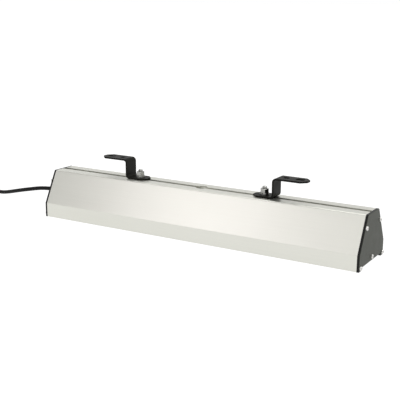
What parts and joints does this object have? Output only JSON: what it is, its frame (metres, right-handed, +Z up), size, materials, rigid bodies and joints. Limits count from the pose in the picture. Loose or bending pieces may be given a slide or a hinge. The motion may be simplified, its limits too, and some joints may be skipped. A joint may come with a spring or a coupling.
{
  "type": "heat lamp warmer",
  "caption": "Linear infrared food warmer: trapezoid aluminium hood over a quartz element, end caps, wire guard, two sliding strap brackets and a supply cord with plug.",
  "frame": {"origin": "centre of the hood's footprint, on the plane that its two skirts stand on", "axes": "+X along the hood towards the end without the cord, +Y towards the back, +Z up through the slot and the brackets"},
  "size_m": [1.0576, 0.1262, 0.117],
  "materials": {
    "anodised_aluminium": "satin natural anodised extrusion",
    "cap_plate": "dark grey powder coat, black edge",
    "zinc_steel": "grey zinc plate",
    "stainless": "bright stainless wire, rod and screws",
    "polished_aluminium": "polished reflector sheet",
    "ceramic_fibre": "needled ceramic fibre blanket",
    "sheet_steel": "galvanised sheet",
    "quartz": "clear quartz",
    "resistance_wire": "oxidised resistance wire",
    "steatite": "unglazed steatite ceramic",
    "brass": "plain brass",
    "lead_sleeve": "white braided glass sleeve",
    "earth_sleeve": "green and yellow insulation",
    "core_brown": "brown insulation",
    "core_blue": "blue insulation",
    "black_polyamide": "moulded black polyamide",
    "cord_rubber": "black rubber jacket",
    "tie_strap": "black hook and loop strap",
    "plug_rubber": "moulded black rubber",
    "nickel_brass": "nickel plated brass",
    "black_coated_steel": "black powder coat on steel bar"
  },
  "bodies": {
    "hood": {"housing": "anodised_aluminium", "end_cap_left": "cap_plate", "end_cap_right": "cap_plate", "cap_screws_left": "stainless", "cap_screws_right": "stainless", "guard_rail": "stainless", "guard_wires": "stainless", "reflector": "polished_aluminium", "insulation_blanket": "ceramic_fibre", "bulkhead_left": "sheet_steel", "bulkhead_right": "sheet_steel", "bulkhead_screws": "zinc_steel", "wiring_cover_left": "sheet_steel", "wiring_cover_right": "sheet_steel", "quartz_tube": "quartz", "heating_coil": "resistance_wire", "ceramic_base_left": "steatite", "ceramic_base_right": "steatite", "element_clip_left": "stainless", "element_clip_right": "stainless", "terminal_stud_left": "stainless", "terminal_stud_right": "stainless", "stud_nut_left": "zinc_steel", "stud_nut_right": "zinc_steel", "terminal_block": "steatite", "terminal_screws": "brass", "block_screw": "zinc_steel", "earth_screw": "brass", "live_lead": "lead_sleeve", "return_lead": "lead_sleeve", "earth_lead": "earth_sleeve", "cord_core_live": "core_brown", "cord_core_neutral": "core_blue", "cord_core_earth": "earth_sleeve", "gland_body": "black_polyamide", "gland_nut": "black_polyamide", "gland_locknut": "black_polyamide", "gland_seal": "cord_rubber", "supply_cord": "cord_rubber", "cord_coil": "cord_rubber", "cord_tail": "cord_rubber", "cord_tie": "tie_strap", "plug_body": "plug_rubber", "plug_pins": "nickel_brass", "plug_earth_clips": "nickel_brass"},
    "left_clamp": {"slot_bolt_left": "zinc_steel", "washer_left": "zinc_steel", "spring_washer_left": "zinc_steel", "nut_left": "zinc_steel"},
    "right_clamp": {"slot_bolt_right": "zinc_steel", "washer_right": "zinc_steel", "spring_washer_right": "zinc_steel", "nut_right": "zinc_steel"},
    "left_bracket": {"bracket_left": "black_coated_steel"},
    "right_bracket": {"bracket_right": "black_coated_steel"}
  },
  "joints": [
    {"name": "left_bracket_slide", "type": "slide", "parent": "hood", "child": "left_clamp", "axis": [-1, 0, 0], "range_m": [-0.0416, 0.1614]},
    {"name": "left_bracket_swivel", "type": "hinge", "parent": "left_clamp", "child": "left_bracket", "pos_m": [-0.1261, 0, 0.0837], "axis": [0, 0, 1], "continuous": true},
    {"name": "right_bracket_slide", "type": "slide", "parent": "hood", "child": "right_clamp", "axis": [1, 0, 0], "range_m": [-0.0344, 0.1686]},
    {"name": "right_bracket_swivel", "type": "hinge", "parent": "right_clamp", "child": "right_bracket", "pos_m": [0.1189, 0, 0.0837], "axis": [0, 0, 1], "continuous": true}
  ]
}
